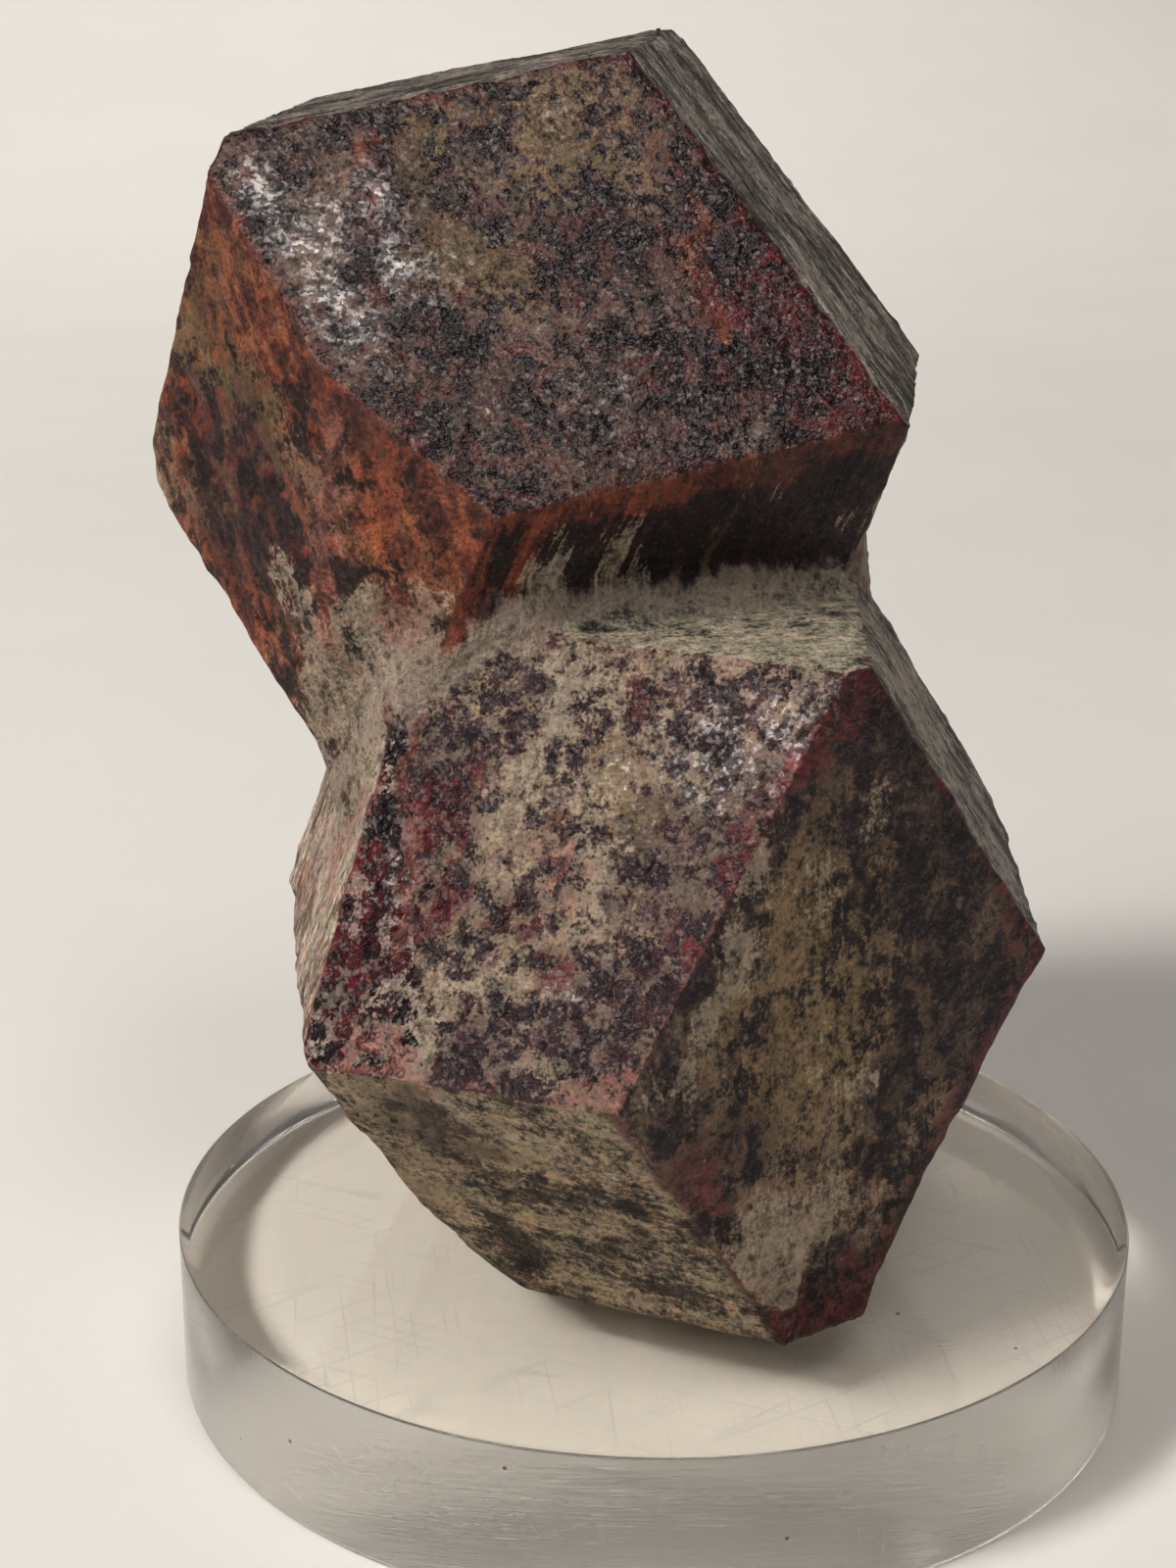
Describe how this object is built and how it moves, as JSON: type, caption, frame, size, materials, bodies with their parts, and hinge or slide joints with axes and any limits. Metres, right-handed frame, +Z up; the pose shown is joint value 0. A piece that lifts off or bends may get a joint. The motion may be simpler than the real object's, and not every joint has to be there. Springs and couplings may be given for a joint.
{
  "type": "garnet crystal",
  "caption": "Intergrown blocky garnet crystals with flat rhombic faces, shown standing on a clear round acrylic disc.",
  "frame": {"origin": "centre of the display disc's underside", "axes": "+Z up, through the disc's axis; -Y is the front, from which both crystals' large faces show; +X to the right seen from the front"},
  "size_m": [0.0783, 0.0893, 0.1027],
  "materials": {
    "garnet": "satin",
    "clear_acrylic": "polished"
  },
  "bodies": {
    "root": {"garnet_crystal": "garnet", "display_disc": "clear_acrylic"}
  },
  "joints": []
}
